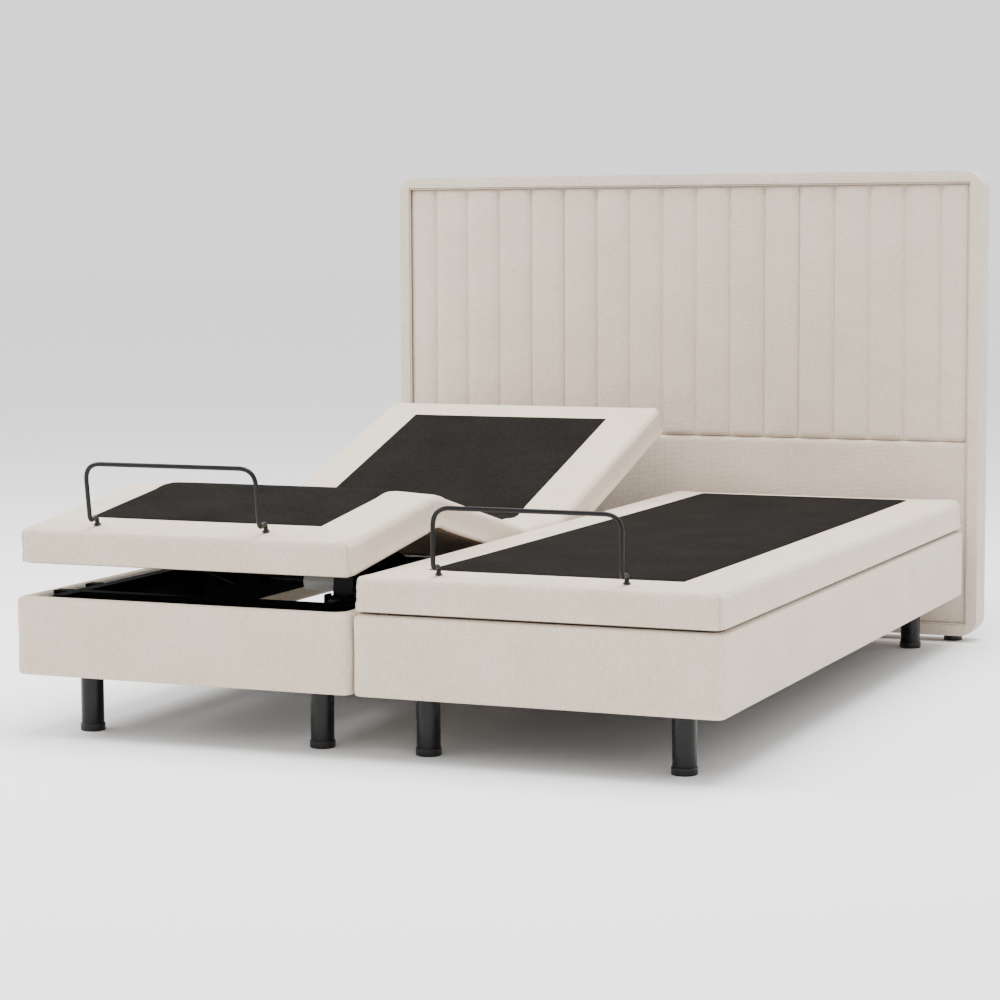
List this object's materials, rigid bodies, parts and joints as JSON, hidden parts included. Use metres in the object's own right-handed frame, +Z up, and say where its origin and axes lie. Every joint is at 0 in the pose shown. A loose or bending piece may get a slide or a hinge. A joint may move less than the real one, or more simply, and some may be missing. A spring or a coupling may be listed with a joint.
{
  "type": "adjustable bed base",
  "caption": "Split adjustable bed base with motor-raised back and leg sections, padded upholstered frames on round legs, and a shared channelled headboard.",
  "frame": {"origin": "on the floor, under the centre of the whole object's box", "axes": "+X to the right seen from the foot end, +Y towards the headboard, +Z up"},
  "size_m": [1.654, 2.14, 1.232],
  "materials": {
    "upholstery_fabric": "woven beige upholstery cloth over foam, fine ribbed weave",
    "platform_fabric": "dark brown-grey non-slip platform cloth, fine ribbed weave",
    "headboard_fabric": "woven beige upholstery cloth, padded in vertical channels",
    "headboard_back": "black spun-bonded dust cloth over the plywood core board",
    "plywood": "birch plywood, clear sealed",
    "black_steel": "black powder coat, satin",
    "motor_housing": "moulded light grey ABS with a blank label",
    "black_plastic": "moulded black nylon",
    "zinc_steel": "bright zinc plated steel",
    "lining_cloth": "black non-woven dust cloth"
  },
  "bodies": {
    "base": {"left_base_box": "upholstery_fabric", "left_front_left_leg": "black_steel", "left_front_right_leg": "black_steel", "left_rear_left_leg": "black_steel", "left_rear_right_leg": "black_steel", "left_steel_frame": "black_steel", "left_support_post": "black_steel", "left_control_box": "black_plastic", "left_seat_board": "plywood", "left_seat_pad": "upholstery_fabric", "left_back_hinge_rod": "zinc_steel", "left_hip_hinge_rod": "zinc_steel", "right_base_box": "upholstery_fabric", "right_front_left_leg": "black_steel", "right_front_right_leg": "black_steel", "right_rear_left_leg": "black_steel", "right_rear_right_leg": "black_steel", "right_steel_frame": "black_steel", "right_support_post": "black_steel", "right_control_box": "black_plastic", "right_seat_board": "plywood", "right_seat_pad": "upholstery_fabric", "right_back_hinge_rod": "zinc_steel", "right_hip_hinge_rod": "zinc_steel", "headboard_rim": "headboard_fabric", "headboard_board": "headboard_back", "headboard_channel_pad": "headboard_fabric", "headboard_lower_pad": "headboard_fabric", "headboard_left_foot": "black_plastic", "headboard_right_foot": "black_plastic"},
    "left_back": {"left_back_board": "plywood", "left_back_pad": "upholstery_fabric"},
    "left_thigh": {"left_thigh_board": "plywood", "left_thigh_pad": "upholstery_fabric", "left_knee_hinge_rod": "zinc_steel"},
    "left_calf": {"left_calf_board": "plywood", "left_calf_pad": "upholstery_fabric", "left_retainer_bar": "black_steel"},
    "left_head_lift": {"left_head_lift_tube": "black_steel"},
    "left_foot_lift": {"left_foot_lift_tube": "black_steel"},
    "left_head_motor": {"left_head_motor": "motor_housing"},
    "left_head_rod": {"left_head_motor_rod": "zinc_steel"},
    "left_foot_motor": {"left_foot_motor": "motor_housing"},
    "left_foot_rod": {"left_foot_motor_rod": "zinc_steel"},
    "left_strut": {"left_calf_strut": "black_steel"},
    "right_back": {"right_back_board": "plywood", "right_back_pad": "upholstery_fabric"},
    "right_thigh": {"right_thigh_board": "plywood", "right_thigh_pad": "upholstery_fabric", "right_knee_hinge_rod": "zinc_steel"},
    "right_calf": {"right_calf_board": "plywood", "right_calf_pad": "upholstery_fabric", "right_retainer_bar": "black_steel"},
    "right_head_lift": {"right_head_lift_tube": "black_steel"},
    "right_foot_lift": {"right_foot_lift_tube": "black_steel"},
    "right_head_motor": {"right_head_motor": "motor_housing"},
    "right_head_rod": {"right_head_motor_rod": "zinc_steel"},
    "right_foot_motor": {"right_foot_motor": "motor_housing"},
    "right_foot_rod": {"right_foot_motor_rod": "zinc_steel"},
    "right_strut": {"right_calf_strut": "black_steel"}
  },
  "joints": [
    {"name": "left_back_hinge", "type": "hinge", "parent": "base", "child": "left_back", "pos_m": [-0.4025, 0.14, 0.303], "axis": [1, 0, 0], "range_deg": [-17.4, 42.6]},
    {"name": "left_thigh_hinge", "type": "hinge", "parent": "base", "child": "left_thigh", "pos_m": [-0.4025, -0.085, 0.303], "axis": [-1, 0, 0], "range_deg": [-13.5, 21.5]},
    {"name": "left_calf_hinge", "type": "hinge", "parent": "left_thigh", "child": "left_calf", "pos_m": [-0.4025, -0.60522, 0.42789], "axis": [1, 0, 0], "range_deg": [-21.12, 33.62]},
    {"name": "left_head_lift_turn", "type": "hinge", "parent": "base", "child": "left_head_lift", "pos_m": [-0.4025, 0.14, 0.248], "axis": [1, 0, 0], "range_deg": [-16.27, 39.82]},
    {"name": "left_foot_lift_turn", "type": "hinge", "parent": "base", "child": "left_foot_lift", "pos_m": [-0.4025, -0.085, 0.248], "axis": [-1, 0, 0], "range_deg": [-12.85, 20.45]},
    {"name": "left_head_motor_pivot", "type": "hinge", "parent": "base", "child": "left_head_motor", "pos_m": [-0.3375, -0.43, 0.236], "axis": [1, 0, 0], "range_deg": [-1.1, 0.46]},
    {"name": "left_foot_motor_pivot", "type": "hinge", "parent": "base", "child": "left_foot_motor", "pos_m": [-0.4775, 0.49, 0.236], "axis": [-1, 0, 0], "range_deg": [-0.59, 0.93]},
    {"name": "left_strut_pivot", "type": "hinge", "parent": "base", "child": "left_strut", "pos_m": [-0.4025, -0.322, 0.259], "axis": [-1, 0, 0], "range_deg": [-15.64, 24.9]},
    {"name": "left_head_rod_slide", "type": "slide", "parent": "left_head_motor", "child": "left_head_rod", "axis": [0, 0.9935, -0.1138], "range_m": [-0.02313, 0.0566]},
    {"name": "left_foot_rod_slide", "type": "slide", "parent": "left_foot_motor", "child": "left_foot_rod", "axis": [0, -0.9927, -0.1205], "range_m": [-0.01793, 0.02854]},
    {"name": "right_back_hinge", "type": "hinge", "parent": "base", "child": "right_back", "pos_m": [0.4025, 0.14, 0.303], "axis": [1, 0, 0], "range_deg": [0, 60]},
    {"name": "right_thigh_hinge", "type": "hinge", "parent": "base", "child": "right_thigh", "pos_m": [0.4025, -0.085, 0.303], "axis": [-1, 0, 0], "range_deg": [0, 35]},
    {"name": "right_calf_hinge", "type": "hinge", "parent": "right_thigh", "child": "right_calf", "pos_m": [0.4025, -0.62, 0.303], "axis": [1, 0, 0], "range_deg": [0, 54.73]},
    {"name": "right_head_lift_turn", "type": "hinge", "parent": "base", "child": "right_head_lift", "pos_m": [0.4025, 0.14, 0.248], "axis": [1, 0, 0], "range_deg": [0, 56.07]},
    {"name": "right_foot_lift_turn", "type": "hinge", "parent": "base", "child": "right_foot_lift", "pos_m": [0.4025, -0.085, 0.248], "axis": [-1, 0, 0], "range_deg": [0, 33.28]},
    {"name": "right_head_motor_pivot", "type": "hinge", "parent": "base", "child": "right_head_motor", "pos_m": [0.4675, -0.43, 0.236], "axis": [1, 0, 0], "range_deg": [-1.55, 0]},
    {"name": "right_foot_motor_pivot", "type": "hinge", "parent": "base", "child": "right_foot_motor", "pos_m": [0.3275, 0.49, 0.236], "axis": [-1, 0, 0], "range_deg": [0, 1.5]},
    {"name": "right_strut_pivot", "type": "hinge", "parent": "base", "child": "right_strut", "pos_m": [0.4025, -0.322, 0.259], "axis": [-1, 0, 0], "range_deg": [0, 40.53]},
    {"name": "right_head_rod_slide", "type": "slide", "parent": "right_head_motor", "child": "right_head_rod", "axis": [0, 0.9944, -0.1061], "range_m": [0, 0.07971]},
    {"name": "right_foot_rod_slide", "type": "slide", "parent": "right_foot_motor", "child": "right_foot_rod", "axis": [0, -0.9915, -0.1304], "range_m": [0, 0.04645]}
  ],
  "couplings": [
    {"joint": "left_calf_hinge", "follows": "left_thigh_hinge", "ratio": 1.563},
    {"joint": "left_head_lift_turn", "follows": "left_back_hinge", "ratio": 0.93418},
    {"joint": "left_foot_lift_turn", "follows": "left_thigh_hinge", "ratio": 0.95035},
    {"joint": "left_head_motor_pivot", "follows": "left_back_hinge", "ratio": -0.025429},
    {"joint": "left_foot_motor_pivot", "follows": "left_thigh_hinge", "ratio": 0.042194},
    {"joint": "left_strut_pivot", "follows": "left_thigh_hinge", "ratio": 1.1574},
    {"joint": "left_head_rod_slide", "follows": "left_back_hinge", "m_per_rad": 0.076096},
    {"joint": "left_foot_rod_slide", "follows": "left_thigh_hinge", "m_per_rad": 0.076002},
    {"joint": "right_calf_hinge", "follows": "right_thigh_hinge", "ratio": 1.563},
    {"joint": "right_head_lift_turn", "follows": "right_back_hinge", "ratio": 0.93418},
    {"joint": "right_foot_lift_turn", "follows": "right_thigh_hinge", "ratio": 0.95035},
    {"joint": "right_head_motor_pivot", "follows": "right_back_hinge", "ratio": -0.025429},
    {"joint": "right_foot_motor_pivot", "follows": "right_thigh_hinge", "ratio": 0.042194},
    {"joint": "right_strut_pivot", "follows": "right_thigh_hinge", "ratio": 1.1574},
    {"joint": "right_head_rod_slide", "follows": "right_back_hinge", "m_per_rad": 0.076096},
    {"joint": "right_foot_rod_slide", "follows": "right_thigh_hinge", "m_per_rad": 0.076002}
  ]
}
